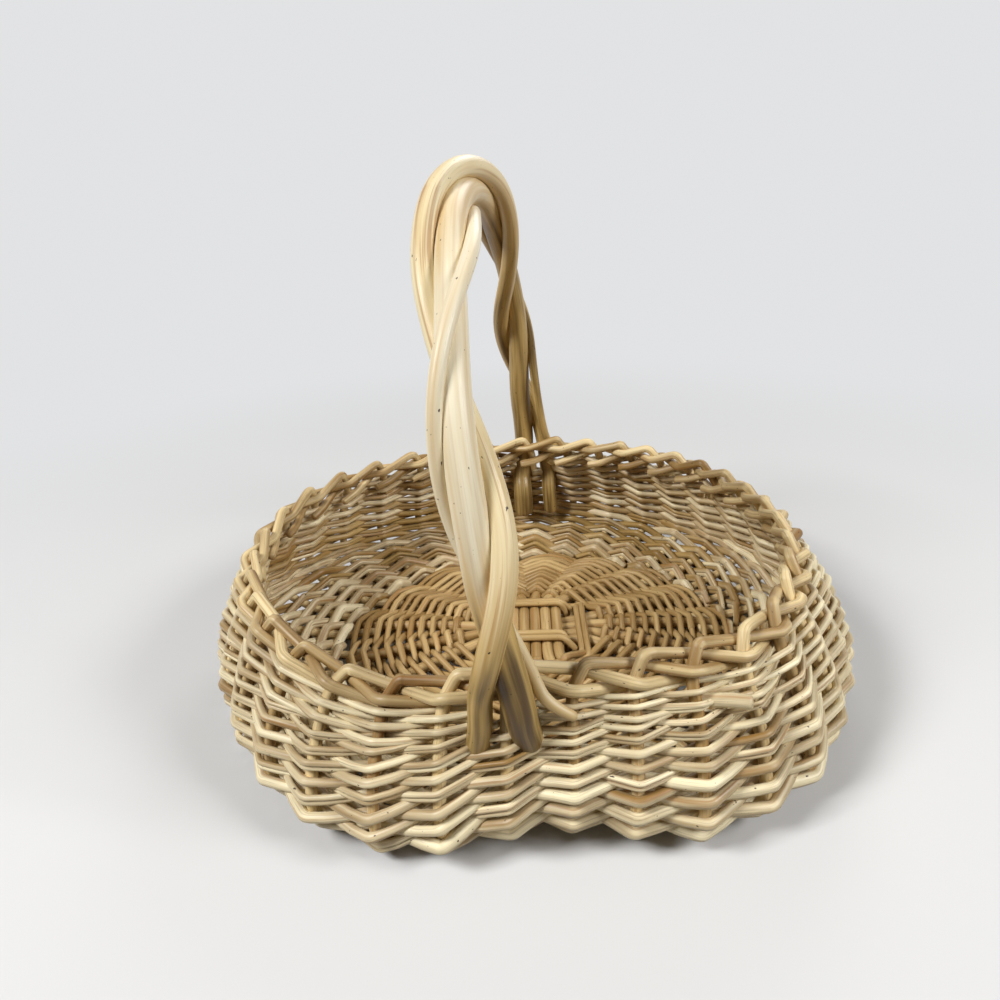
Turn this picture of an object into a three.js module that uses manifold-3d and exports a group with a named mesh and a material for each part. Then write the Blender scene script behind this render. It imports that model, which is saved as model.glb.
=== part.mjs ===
// A shallow oval gathering basket of peeled willow. The base is a cross of sticks bound and woven
// into an oval, the stakes rise from its edge and turn down into a plaited border, and two chasing
// rods fill the sides. A bow of three twisted rods goes through a window under the border at each foot.
import * as THREE from 'three';
import { mergeVertices } from 'three/addons/utils/BufferGeometryUtils.js';
import Module from 'manifold-3d';

const wasm = await Module();
wasm.setup();

// Driving dimensions, in millimetres. Widths run along X and depths along Y.
const BASE_WIDTH = 216;
const BASE_DEPTH = 184;
const BASE_CROWN = 10;
const BULGE_WIDTH = 316;
const BULGE_DEPTH = 272;
const BULGE_HEIGHT = 27;
const MOUTH_WIDTH = 266;
const MOUTH_DEPTH = 226;
const MOUTH_DRIFT = -8;
const RIM_HEIGHT = 88;
const HANDLE_HEIGHT = 255;
const HANDLE_LEAN = -18;
const HANDLE_SKEW = -8;
const HANDLE_TURNS = 2.5;
const WINDOW_HEIGHT = 18;
const CLEARANCE = 0.35;
const FOOT_FLAT = 0.7;

// Rod diameters
const STAKE_DIAMETER = 5.4;
const STAKE_TIP_DIAMETER = 4.6;
const WEAVER_DIAMETER = 4.5;
const STICK_DIAMETER = 5.6;
const BASE_WEAVER_DIAMETER = 4;
const BINDING_DIAMETER = 4;
const HANDLE_STREAKED_DIAMETER = 10.4;
const HANDLE_BROAD_DIAMETER = 13;
const HANDLE_THIN_DIAMETER = 7;
const HANDLE_THIN_TIP = 4.4;

// Counts. Every stick end has a stake on each side of it.
const FRONT_STICKS = 5;
const SIDE_STICKS = 4;
const SPOKES = 2 * (FRONT_STICKS + SIDE_STICKS);
const STAKES = 2 * SPOKES;
const FLARE_STEPS = 4;
const WALL_STEPS = 4;
const ROD_SIDES = 5;
const HANDLE_SIDES = 7;
const HANDLE_STEPS = 30;

// Directions round the basket. Stake 0 stands between the handle's front feet.
const STAKE_STEP = (2 * Math.PI) / STAKES;
const FRONT_STAKE_ANGLE = THREE.MathUtils.degToRad(-97.1);
const BACK_STAKE = STAKES / 2 + 1;
const stakeAngle = (index) => FRONT_STAKE_ANGLE + index * STAKE_STEP;

// Radii, and how far a woven rod swings to each side of the rod that it passes
const stakeRadius = STAKE_DIAMETER / 2;
const tipRadius = STAKE_TIP_DIAMETER / 2;
const weaverRadius = WEAVER_DIAMETER / 2;
const stickRadius = STICK_DIAMETER / 2;
const baseWeaverRadius = BASE_WEAVER_DIAMETER / 2;
const bindingRadius = BINDING_DIAMETER / 2;

// A rod that zigzags past posts a bay apart clears them by reach at right angles to its own slope
function swing(reach, bay) {
  return (reach * bay) / Math.sqrt(bay * bay - 4 * reach * reach);
}

function bayWidth(halfWidth, halfDepth, angle, step) {
  return step * Math.hypot(halfWidth * Math.sin(angle), halfDepth * Math.cos(angle));
}

// A rod swept along points, with a flat cut at each end. Its section is carried along without twist.
function rodGeometry(points, radiusAt, sides) {
  const last = points.length - 1;
  const positions = [];
  const indices = [];
  const across = new THREE.Vector3();
  points.forEach((point, i) => {
    const arriving = point.clone().sub(points[Math.max(i - 1, 0)]).normalize();
    const leaving = points[Math.min(i + 1, last)].clone().sub(point).normalize();
    const along = arriving.add(leaving).normalize();
    if (i === 0) {
      across.set(0, 0, 1);
      if (Math.abs(along.z) > 0.9) across.set(1, 0, 0);
    }
    across.addScaledVector(along, -across.dot(along)).normalize();
    const side = along.clone().cross(across);
    for (let j = 0; j < sides; j += 1) {
      const turn = (2 * Math.PI * j) / sides;
      const corner = point.clone();
      corner.addScaledVector(across, radiusAt(i / last) * Math.cos(turn));
      corner.addScaledVector(side, radiusAt(i / last) * Math.sin(turn));
      positions.push(corner.x, corner.y, corner.z);
    }
  });
  for (let i = 0; i < last; i += 1) {
    for (let j = 0; j < sides; j += 1) {
      const here = i * sides + j;
      const beside = i * sides + ((j + 1) % sides);
      indices.push(here, beside, here + sides, beside, beside + sides, here + sides);
    }
  }
  for (let j = 1; j < sides - 1; j += 1) {
    indices.push(0, j + 1, j);
    indices.push(last * sides, last * sides + j, last * sides + j + 1);
  }
  const geometry = new THREE.BufferGeometry();
  geometry.setAttribute('position', new THREE.Float32BufferAttribute(positions, 3));
  geometry.setIndex(indices);
  geometry.computeVertexNormals();
  return geometry;
}

// The wall is the oval surface through the stakes' centre lines. It flares out from the base edge in
// a quarter turn, then draws in to the mouth.
const edgeReach = stakeRadius + weaverRadius + CLEARANCE;
const edgeBay = STAKE_STEP * (BASE_DEPTH / 2 + WEAVER_DIAMETER);
const EDGE_HEIGHT = swing(edgeReach, edgeBay) + weaverRadius - FOOT_FLAT;
const DRAW_IN_POWER = 1.6;

function wallStations() {
  const stations = [];
  for (let i = 0; i <= FLARE_STEPS; i += 1) {
    const turn = (Math.PI / 2) * (i / FLARE_STEPS);
    stations.push({
      halfWidth: BASE_WIDTH / 2 + (BULGE_WIDTH / 2 - BASE_WIDTH / 2) * Math.sin(turn),
      halfDepth: BASE_DEPTH / 2 + (BULGE_DEPTH / 2 - BASE_DEPTH / 2) * Math.sin(turn),
      height: EDGE_HEIGHT + (BULGE_HEIGHT - EDGE_HEIGHT) * (1 - Math.cos(turn)),
      drift: 0,
    });
  }
  for (let i = 1; i <= WALL_STEPS; i += 1) {
    const rise = i / WALL_STEPS;
    const drawn = rise ** DRAW_IN_POWER;
    stations.push({
      halfWidth: BULGE_WIDTH / 2 + (MOUTH_WIDTH / 2 - BULGE_WIDTH / 2) * drawn,
      halfDepth: BULGE_DEPTH / 2 + (MOUTH_DEPTH / 2 - BULGE_DEPTH / 2) * drawn,
      height: BULGE_HEIGHT + (RIM_HEIGHT - BULGE_HEIGHT) * rise,
      drift: MOUTH_DRIFT * rise ** 2,
    });
  }
  stations[0].length = 0;
  for (let i = 1; i < stations.length; i += 1) {
    const out = stations[i].halfDepth - stations[i - 1].halfDepth;
    const up = stations[i].height - stations[i - 1].height;
    stations[i].length = stations[i - 1].length + Math.hypot(out, up);
  }
  return stations;
}

const stations = wallStations();

function between(key, value, name) {
  const inner = stations.slice(1, -1).findIndex((station) => station[key] > value);
  const upper = inner < 0 ? stations.length - 1 : inner + 1;
  const from = stations[upper - 1];
  const to = stations[upper];
  return THREE.MathUtils.lerp(from[name], to[name], (value - from[key]) / (to[key] - from[key]));
}

const lengthAtHeight = (height) => between('height', height, 'length');
const heightAtLength = (length) => between('length', length, 'height');

function ovalPoint(angle, length) {
  const cosine = Math.cos(angle);
  return new THREE.Vector3(
    between('length', length, 'halfWidth') * cosine + between('length', length, 'drift') * cosine ** 2,
    between('length', length, 'halfDepth') * Math.sin(angle),
    heightAtLength(length),
  );
}

// A point at an angle round the wall and a length up it, set out or in from the stakes
function wallPoint(angle, length, offset) {
  const slopeSpan = STAKE_DIAMETER;
  const around = new THREE.Vector3(
    -between('length', length, 'halfWidth') * Math.sin(angle),
    between('length', length, 'halfDepth') * Math.cos(angle),
    0,
  );
  const upward = ovalPoint(angle, length + slopeSpan).sub(ovalPoint(angle, length - slopeSpan));
  return ovalPoint(angle, length).addScaledVector(around.cross(upward).normalize(), offset);
}

function wallBay(angle, length) {
  const halfWidth = between('length', length, 'halfWidth');
  const halfDepth = between('length', length, 'halfDepth');
  return bayWidth(halfWidth, halfDepth, angle, STAKE_STEP);
}

// Base: a crowned oval dish that meets the wall at its edge
function basePoint(angle, share, offset) {
  return new THREE.Vector3(
    (BASE_WIDTH / 2) * share * Math.cos(angle),
    (BASE_DEPTH / 2) * share * Math.sin(angle),
    EDGE_HEIGHT + BASE_CROWN * (1 - share ** 2) + offset,
  );
}

const SPOKE_STEP = 2 * STAKE_STEP;
const crossLevel = stickRadius + CLEARANCE / 2;
const STICK_PITCH = STICK_DIAMETER + CLEARANCE;
const ARM_LENGTH = 27;
const STICK_END_SHARE = 0.985;
const STICK_SHARES = [0.76, 0.52];

const dishHeight = (x, y) => {
  const share = Math.hypot(x / (BASE_WIDTH / 2), y / (BASE_DEPTH / 2));
  return EDGE_HEIGHT + BASE_CROWN * (1 - share ** 2);
};

// The cross has four arms. In each the sticks lie side by side, then spread evenly to the edge.
const frontHeading = FRONT_STAKE_ANGLE + STAKE_STEP / 2;
const arms = [0, 1, 2, 3].map((quarter) => ({
  heading: frontHeading + (quarter * Math.PI) / 2,
  count: quarter % 2 === 0 ? FRONT_STICKS : SIDE_STICKS,
  level: quarter % 2 === 0 ? crossLevel : -crossLevel,
}));

function armPoint(arm, reach, aside) {
  return new THREE.Vector2(
    Math.cos(arm.heading) * reach - Math.sin(arm.heading) * aside,
    Math.sin(arm.heading) * reach + Math.cos(arm.heading) * aside,
  );
}

const spokes = arms.flatMap((arm) =>
  Array.from({ length: arm.count }, (_, i) => {
    const place = i - (arm.count - 1) / 2;
    const angle = arm.heading + place * SPOKE_STEP;
    const from = armPoint(arm, ARM_LENGTH, place * STICK_PITCH);
    return { angle, from, edge: basePoint(angle, STICK_END_SHARE, 0) };
  }),
);

// Where a spoke's straight run crosses the oval that is a share of the base edge
function spokePoint(spoke, share, offset) {
  const ax = spoke.from.x / (BASE_WIDTH / 2);
  const ay = spoke.from.y / (BASE_DEPTH / 2);
  const dx = spoke.edge.x / (BASE_WIDTH / 2) - ax;
  const dy = spoke.edge.y / (BASE_DEPTH / 2) - ay;
  const a = dx * dx + dy * dy;
  const b = ax * dx + ay * dy;
  const c = ax * ax + ay * ay - share * share;
  const along = (-b + Math.sqrt(b * b - a * c)) / a;
  const x = THREE.MathUtils.lerp(spoke.from.x, spoke.edge.x, along);
  const y = THREE.MathUtils.lerp(spoke.from.y, spoke.edge.y, along);
  return new THREE.Vector3(x, y, dishHeight(x, y) + offset);
}

function stickPoints(quarter, place) {
  const near = arms[quarter];
  const far = arms[quarter + 2];
  const aside = (place - (near.count - 1) / 2) * STICK_PITCH;
  const half = (arms[quarter + 1].count * STICK_PITCH) / 2;
  const firstSpoke = quarter === 0 ? 0 : FRONT_STICKS;
  const nearSpoke = spokes[firstSpoke + place];
  const farSpoke = spokes[firstSpoke + SPOKES / 2 + far.count - 1 - place];
  const level = (reach, share) => {
    const { x, y } = armPoint(near, reach, aside);
    return new THREE.Vector3(x, y, dishHeight(x, y) + share * near.level);
  };
  return [
    nearSpoke.edge,
    ...STICK_SHARES.map((share) => spokePoint(nearSpoke, share, 0)),
    level(ARM_LENGTH, 0),
    level(half, 1),
    level(-half, 1),
    level(-ARM_LENGTH, 0),
    ...STICK_SHARES.toReversed().map((share) => spokePoint(farSpoke, share, 0)),
    farSpoke.edge,
  ];
}

// Each binding rod goes once round the cross, over two arms and under the other two
const BINDING_STEP = 1.5 * BINDING_DIAMETER;

function bindingPoints(second) {
  const points = [];
  for (let quarter = 0; quarter < 4; quarter += 1) {
    const arm = arms[quarter];
    const next = arms[(quarter + 1) % 4];
    const half = (arm.count * STICK_PITCH) / 2;
    const reach = (next.count * STICK_PITCH) / 2 + bindingRadius + CLEARANCE + second * BINDING_STEP;
    const side = (quarter + second) % 2 === 0 ? 1 : -1;
    const settled = THREE.MathUtils.mapLinear(reach, (next.count * STICK_PITCH) / 2, ARM_LENGTH, 1, 0);
    const height = side * (stickRadius + bindingRadius + CLEARANCE) + settled * arm.level;
    [-half, half].forEach((aside) => {
      const { x, y } = armPoint(arm, reach, aside);
      points.push(new THREE.Vector3(x, y, dishHeight(x, y) + height));
    });
    if (quarter < 3) {
      const corner = armPoint(arm, reach + bindingRadius, half + BINDING_DIAMETER + second * BINDING_STEP);
      points.push(new THREE.Vector3(corner.x, corner.y, dishHeight(corner.x, corner.y)));
    }
  }
  return points;
}

// Base weavers: two rods spiral out together, over one stick end and under the next
const BASE_WEAVE_START = 0.52;
const BASE_WEAVE_END = 0.91;
const baseRowPitch = BASE_WEAVER_DIAMETER + 2 * CLEARANCE;
const baseRows = Math.floor(((BASE_WEAVE_END - BASE_WEAVE_START) * BASE_DEPTH) / 2 / baseRowPitch);
const baseTurns = Math.floor(baseRows / 2);

function baseWeaverPoints(second) {
  const reach = stickRadius + baseWeaverRadius + CLEARANCE;
  const points = [];
  for (let k = 0; k <= baseTurns * SPOKES; k += 1) {
    const row = second + (2 * k) / SPOKES;
    const share = BASE_WEAVE_START + (row * baseRowPitch) / (BASE_DEPTH / 2);
    const spoke = spokes[k % SPOKES];
    const bays = [1, SPOKES - 1].map((step) => {
      const beside = spokePoint(spokes[(k + step) % SPOKES], share, 0);
      return beside.distanceTo(spokePoint(spoke, share, 0));
    });
    const side = (k + second) % 2 === 0 ? 1 : -1;
    points.push(spokePoint(spoke, share, side * swing(reach, Math.min(...bays))));
  }
  return points;
}

// A stake's butt is pushed in beside the end of its stick, and pricked up at the base edge
const BUTT_SHARE = 0.968;

function spokeBeside(index) {
  const apart = (spoke) => Math.abs(Math.sin((spoke.angle - stakeAngle(index)) / 2));
  return spokes.reduce((nearest, spoke) => (apart(spoke) < apart(nearest) ? spoke : nearest));
}

function stakeButt(index) {
  const spoke = spokeBeside(index);
  const start = spokePoint(spoke, BUTT_SHARE, 0);
  const toStake = ovalPoint(stakeAngle(index), 0).sub(start);
  const along = spokePoint(spoke, STICK_END_SHARE, 0).sub(start).normalize();
  const aside = toStake.addScaledVector(along, -toStake.dot(along)).normalize();
  return start.addScaledVector(aside, stickRadius + stakeRadius + CLEARANCE);
}

// Border heights: each stake rises over its neighbour's rod, passes behind the next stake at the top,
// in front of the one after it at the bottom, and behind the third
const borderReach = STAKE_TIP_DIAMETER + CLEARANCE;
const BORDER_HUMP = borderReach / 2;
const BORDER_DROP = 2.45 * borderReach;
const STUB_LEAN = 0.22;
const STUB_SIDE = 0.2;
const TAIL_BAYS = 3.25;
const TAIL_SIDE = 0.95;
const borderTop = RIM_HEIGHT - tipRadius - BORDER_HUMP;
const borderLow = borderTop - BORDER_DROP;
const windowFoot = borderLow - WINDOW_HEIGHT;

function stakePoints(index) {
  const points = [stakeButt(index)];
  stations.forEach((station) => {
    if (station.height < borderLow) points.push(wallPoint(stakeAngle(index), station.length, 0));
  });
  const border = [
    { ahead: 0, height: borderTop, side: STUB_SIDE },
    { ahead: STUB_LEAN, height: borderTop + BORDER_HUMP, side: STUB_SIDE },
    { ahead: 1, height: borderTop, side: -1 },
    { ahead: 2, height: borderLow, side: 1 },
    { ahead: 3, height: borderLow, side: -1 },
    { ahead: TAIL_BAYS, height: borderLow, side: -TAIL_SIDE },
  ];
  border.forEach(({ ahead, height, side }) => {
    const angle = stakeAngle(index + ahead);
    const length = lengthAtHeight(height);
    points.push(wallPoint(angle, length, side * swing(borderReach, wallBay(angle, length))));
  });
  return points;
}

// Side weavers: two rods chase each other round, and step up a round at the same two bays
const rowPitch = WEAVER_DIAMETER + 2 * CLEARANCE;
const firstRow = WEAVER_DIAMETER;
const fullRows = 2 * Math.floor((lengthAtHeight(windowFoot) - firstRow) / rowPitch / 2);
const SIDE_START_STAKE = 24;
const STEP_UP_BAYS = 6;
const END_SHARE = 0.46;
const sideReach = stakeRadius + weaverRadius + CLEARANCE;

const sideOffset = (angle, length) => swing(sideReach, wallBay(angle, length));

function sideWeaverPoint(second, k) {
  const round = Math.floor(k / STAKES);
  const stepped = Math.max(0, (k % STAKES) - (STAKES - STEP_UP_BAYS)) / STEP_UP_BAYS;
  const length = firstRow + rowPitch * (second + 2 * (round + stepped));
  const angle = stakeAngle(SIDE_START_STAKE + k);
  const side = (k + second) % 2 === 0 ? 1 : -1;
  return wallPoint(angle, length, side * sideOffset(angle, length));
}

function sideWeaverPoints(second, fromRound, toRound) {
  const first = fromRound * STAKES;
  const last = toRound * STAKES - (toRound === fullRows / 2 ? STEP_UP_BAYS : 1);
  const points = [];
  if (fromRound > 0) {
    points.push(sideWeaverPoint(second, first).lerp(sideWeaverPoint(second, first - 1), END_SHARE));
  }
  for (let k = first; k <= last; k += 1) points.push(sideWeaverPoint(second, k));
  if (toRound < fullRows / 2) {
    points.push(sideWeaverPoint(second, last).lerp(sideWeaverPoint(second, last + 1), END_SHARE));
  }
  return points;
}

// Packing weavers: on each side of the handle one rod works to and fro between the windows, turning
// back round the stake beside each window
const packingFoot = firstRow + rowPitch * fullRows;
const packingRoom = lengthAtHeight(borderLow) - borderReach - packingFoot;
const packingRows = Math.max(1, Math.floor(packingRoom / rowPitch) + 1);
const TURN_STEPS = 4;

function packingPoints(fromStake, toStake) {
  const points = [];
  const count = toStake - fromStake;
  for (let row = 0; row < packingRows; row += 1) {
    const length = packingFoot + row * rowPitch;
    const outward = row % 2 === 0;
    for (let i = row === 0 ? 0 : 1; i <= count; i += 1) {
      const stake = outward ? fromStake + i : toStake - i;
      const side = (stake + row) % 2 === 0 ? 1 : -1;
      const angle = stakeAngle(stake);
      if (i < count || row === packingRows - 1) {
        points.push(wallPoint(angle, length, side * sideOffset(angle, length)));
      } else {
        const radius = sideReach / Math.cos(Math.PI / (2 * TURN_STEPS));
        for (let turn = 0; turn <= TURN_STEPS; turn += 1) {
          const bearing = Math.PI / 2 - (turn * Math.PI) / TURN_STEPS;
          const past = (outward ? 1 : -1) * radius * Math.cos(bearing);
          const turned = angle + (past * STAKE_STEP) / wallBay(angle, length);
          const climbed = length + (rowPitch * turn) / TURN_STEPS;
          points.push(wallPoint(turned, climbed, side * radius * Math.sin(bearing)));
        }
      }
    }
  }
  return points;
}

// Handle: three rods twisted together over an arch. At each foot the two thick rods come down outside
// the border on either side of one stake and go in through the window to stand against the wall.
const streakedRadius = HANDLE_STREAKED_DIAMETER / 2;
const broadRadius = HANDLE_BROAD_DIAMETER / 2;
const thinRadius = HANDLE_THIN_DIAMETER / 2;
const thinTipRadius = HANDLE_THIN_TIP / 2;
const TWIST_ALLOWANCE = 1.05;
const pairSpacing = (streakedRadius + broadRadius) * TWIST_ALLOWANCE + CLEARANCE;
const borderFace = swing(borderReach, STAKE_STEP * (MOUTH_DEPTH / 2)) + tipRadius + CLEARANCE;
const LEG_SPREAD = 0.42;
const TWIST_START = 0.03;
const THIN_TWIST_START = 0.1;
const PARTING_TURN = 0.17 * Math.PI;
const LEG_START_RISE = 8;
const LEG_SEAT = 3.5;
const LEG_END_HEIGHT = 32;
const THIN_BEARING = 0.9;
const THIN_STRAY = 0.3;
const THIN_STANDOFF = 2;
const legSpread = LEG_SPREAD * STAKE_STEP * (MOUTH_WIDTH / 2);
const archFoot = (stake) => wallPoint(stakeAngle(stake), lengthAtHeight(borderTop), borderFace + broadRadius);
const frontFoot = archFoot(0);
const backFoot = archFoot(BACK_STAKE);
const archRise = HANDLE_HEIGHT - pairSpacing / 2 - broadRadius - borderTop;

function archPoint(turn) {
  const point = frontFoot.clone().lerp(backFoot, (1 - Math.cos(turn)) / 2);
  point.x += HANDLE_LEAN * Math.sin(turn) + HANDLE_SKEW * Math.sin(2 * turn);
  point.z = borderTop + archRise * Math.sin(turn);
  return point;
}

function twistPoint(turn, radius, phase) {
  const tiny = 0.01;
  const along = archPoint(turn + tiny).sub(archPoint(turn - tiny)).normalize();
  const out = new THREE.Vector3(1, 0, 0).cross(along).normalize();
  const right = along.clone().cross(out);
  const twist = phase + HANDLE_TURNS * 2 * turn;
  const point = archPoint(turn).addScaledVector(out, radius * Math.cos(twist));
  return point.addScaledVector(right, radius * Math.sin(twist));
}

// The rods part towards the feet, where they straddle a stake
function twistPoints(radius, phase, start) {
  const points = [];
  for (let i = 0; i <= HANDLE_STEPS; i += 1) {
    const turn = Math.PI * THREE.MathUtils.lerp(start, 1 - start, i / HANDLE_STEPS);
    const toFoot = Math.min(turn, Math.PI - turn);
    const parted = 1 - THREE.MathUtils.smoothstep(toFoot, 0, PARTING_TURN);
    const spread = THREE.MathUtils.lerp(radius, Math.max(radius, legSpread), parted);
    points.push(twistPoint(turn, spread, phase));
  }
  return points;
}

// From the border's foot, through the window and down inside the wall
function legPoints(bearing, radius) {
  const angle = stakeAngle(bearing);
  const outside = borderFace + radius - LEG_SEAT;
  const inside = -(radius + WEAVER_DIAMETER + weaverRadius);
  return [
    wallPoint(angle, lengthAtHeight(borderLow - tipRadius), outside),
    wallPoint(angle, lengthAtHeight(windowFoot) + weaverRadius, inside),
    wallPoint(angle, lengthAtHeight(LEG_END_HEIGHT), inside),
  ];
}

function thinEndPoints(bearing, stray) {
  const angle = stakeAngle(bearing);
  const tip = stakeAngle(bearing + stray);
  return [
    wallPoint(angle, lengthAtHeight(borderTop) + LEG_START_RISE, borderFace + thinRadius + THIN_STANDOFF),
    wallPoint(tip, lengthAtHeight(borderLow) - borderReach, borderFace + thinTipRadius),
  ];
}

function handlePoints(front, twist, back) {
  return [...front.reverse(), ...twist, ...back];
}

const thinSpacing = thinRadius * TWIST_ALLOWANCE + CLEARANCE;
const toStreaked = streakedRadius + thinSpacing;
const toBroad = broadRadius + thinSpacing;
const thinAlong = (pairSpacing ** 2 + toStreaked ** 2 - toBroad ** 2) / (2 * pairSpacing);
const thinOut = Math.sqrt(toStreaked ** 2 - thinAlong ** 2);
const thinFromMiddle = pairSpacing / 2 - thinAlong;
const thinDistance = Math.hypot(thinOut, thinFromMiddle);
const thinPhase = Math.atan2(thinOut, thinFromMiddle);

// Finishes
const finish = (color) => new THREE.MeshStandardMaterial({ color, roughness: 0.55, metalness: 0 });
const stakeFinish = finish(0xd9bf8f);
const weaverFinish = finish(0xe0cba0);
const baseFinish = finish(0xb99a6c);
const handleFinish = finish(0xdcc193);

const basket = new THREE.Group();

function place(name, geometry, material) {
  const mesh = new THREE.Mesh(geometry, material);
  mesh.name = name;
  basket.add(mesh);
}

function toSolid(geometry) {
  const vertProperties = new Float32Array(geometry.attributes.position.array);
  const triVerts = new Uint32Array(geometry.index.array);
  return new wasm.Manifold(new wasm.Mesh({ numProp: 3, vertProperties, triVerts }));
}

function toGeometry(solid) {
  const { vertProperties, triVerts } = solid.getMesh();
  const geometry = new THREE.BufferGeometry();
  geometry.setAttribute('position', new THREE.BufferAttribute(vertProperties, 3));
  geometry.setIndex(new THREE.BufferAttribute(triVerts, 1));
  geometry.computeVertexNormals();
  return geometry;
}

// The lowest rows are pared flat where the basket stands
function paredFlat(geometry, ground) {
  const below = new THREE.BoxGeometry(2 * BULGE_WIDTH, 2 * BULGE_DEPTH, BULGE_HEIGHT);
  below.translate(0, 0, ground - BULGE_HEIGHT / 2);
  below.deleteAttribute('normal');
  below.deleteAttribute('uv');
  return toGeometry(toSolid(geometry).subtract(toSolid(mergeVertices(below))));
}

const even = (radius) => () => radius;

for (let i = 0; i < FRONT_STICKS; i += 1) {
  const stick = rodGeometry(stickPoints(0, i), even(stickRadius), ROD_SIDES);
  place(`base_stick_front_${i + 1}`, stick, baseFinish);
}
for (let i = 0; i < SIDE_STICKS; i += 1) {
  const stick = rodGeometry(stickPoints(1, i), even(stickRadius), ROD_SIDES);
  place(`base_stick_side_${i + 1}`, stick, baseFinish);
}
['a', 'b'].forEach((letter, second) => {
  const binding = rodGeometry(bindingPoints(second), even(bindingRadius), ROD_SIDES);
  place(`base_binding_${letter}`, binding, baseFinish);
  const weaver = rodGeometry(baseWeaverPoints(second), even(baseWeaverRadius), ROD_SIDES);
  place(`base_weaver_${letter}`, weaver, baseFinish);
});

const TAPER_END = 0.5;
const stakeTaper = (share) => THREE.MathUtils.lerp(stakeRadius, tipRadius, Math.min(1, share / TAPER_END));
for (let i = 0; i < STAKES; i += 1) {
  const name = `stake_${String(i + 1).padStart(2, '0')}`;
  place(name, rodGeometry(stakePoints(i), stakeTaper, ROD_SIDES), stakeFinish);
}

const rounds = fullRows / 2;
const lowerRounds = Math.floor(rounds / 2);
const lowerWeavers = [0, 1].map((second) =>
  rodGeometry(sideWeaverPoints(second, 0, lowerRounds), even(weaverRadius), ROD_SIDES),
);
lowerWeavers.forEach((geometry) => geometry.computeBoundingBox());
const lowest = Math.min(...lowerWeavers.map((geometry) => geometry.boundingBox.min.z));
const ground = lowest + FOOT_FLAT;
basket.position.z = -ground;
['a', 'b'].forEach((letter, second) => {
  place(`side_weaver_lower_${letter}`, paredFlat(lowerWeavers[second], ground), weaverFinish);
  const upper = rodGeometry(sideWeaverPoints(second, lowerRounds, rounds), even(weaverRadius), ROD_SIDES);
  place(`side_weaver_upper_${letter}`, upper, weaverFinish);
});
const packing = {
  right: packingPoints(1, BACK_STAKE - 1),
  left: packingPoints(BACK_STAKE + 1, STAKES - 1),
};
Object.entries(packing).forEach(([side, points]) => {
  place(`packing_weaver_${side}`, rodGeometry(points, even(weaverRadius), ROD_SIDES), weaverFinish);
});

const streaked = handlePoints(
  legPoints(-LEG_SPREAD, streakedRadius),
  twistPoints(pairSpacing / 2, -Math.PI / 2, TWIST_START),
  legPoints(BACK_STAKE - LEG_SPREAD, streakedRadius),
);
const broad = handlePoints(
  legPoints(LEG_SPREAD, broadRadius),
  twistPoints(pairSpacing / 2, Math.PI / 2, TWIST_START),
  legPoints(BACK_STAKE + LEG_SPREAD, broadRadius),
);
const thin = handlePoints(
  thinEndPoints(THIN_BEARING, THIN_STRAY),
  twistPoints(thinDistance, -Math.PI / 2 + thinPhase, THIN_TWIST_START),
  thinEndPoints(BACK_STAKE - THIN_BEARING, -THIN_STRAY),
);
const thinTaper = (share) => {
  const thickened = Math.sqrt(Math.sin(Math.PI * share));
  return THREE.MathUtils.lerp(thinTipRadius, thinRadius, thickened);
};
place('handle_rod_streaked', rodGeometry(streaked, even(streakedRadius), HANDLE_SIDES), handleFinish);
place('handle_rod_broad', rodGeometry(broad, even(broadRadius), HANDLE_SIDES), handleFinish);
place('handle_rod_thin', rodGeometry(thin, thinTaper, HANDLE_SIDES), handleFinish);

export default basket;
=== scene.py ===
import math
import random

import bpy
import numpy as np
from mathutils import Matrix, Vector, noise


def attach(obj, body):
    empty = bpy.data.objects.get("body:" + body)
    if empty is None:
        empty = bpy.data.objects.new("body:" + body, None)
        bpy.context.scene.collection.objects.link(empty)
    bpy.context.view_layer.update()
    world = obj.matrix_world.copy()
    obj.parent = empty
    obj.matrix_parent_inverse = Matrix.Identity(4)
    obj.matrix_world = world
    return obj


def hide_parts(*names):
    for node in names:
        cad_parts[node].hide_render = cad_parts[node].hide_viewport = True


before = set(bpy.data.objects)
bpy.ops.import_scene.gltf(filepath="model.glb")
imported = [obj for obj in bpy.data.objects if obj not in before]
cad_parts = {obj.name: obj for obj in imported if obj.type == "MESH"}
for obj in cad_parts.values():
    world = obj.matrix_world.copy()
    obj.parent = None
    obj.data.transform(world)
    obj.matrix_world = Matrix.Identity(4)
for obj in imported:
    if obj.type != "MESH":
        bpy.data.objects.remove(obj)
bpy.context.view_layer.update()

# Base sticks
# Nine straight willow sticks laid as a cross, five from front to back over four from side to side.
# Past the binding they are spread like spokes, and every end stops at the edge of the oval base.
MM = 0.001
BASE_HALF_WIDTH = 108
BASE_HALF_DEPTH = 92
BASE_CROWN = 10
EDGE_HEIGHT = 7.2
STICK_RADIUS = 3.0
STICK_PITCH = 5.95
STICK_BEND = 6
STICK_SIDES = 10
STICK_SHARES = (0.97, 0.8, 0.62, 0.45)
ARM_LENGTH = 27
FRONT_STICKS = 5
SIDE_STICKS = 4
SPOKES = 2 * (FRONT_STICKS + SIDE_STICKS)
STAKES = 2 * SPOKES
STAKE_STEP = 2 * math.pi / STAKES
FRONT_STAKE = math.radians(-97.1)
BACK_BEARING = math.radians(92.9)
BACK_TURN = math.radians(-6)
BACK_SPREAD = math.radians(75)


def turned(angle):
    """The stakes are set a little out of step towards the back, as a hand sets them."""
    apart = (angle - BACK_BEARING + math.pi) % (2 * math.pi) - math.pi
    return angle + BACK_TURN * np.exp(-(apart / BACK_SPREAD) ** 2)


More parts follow.
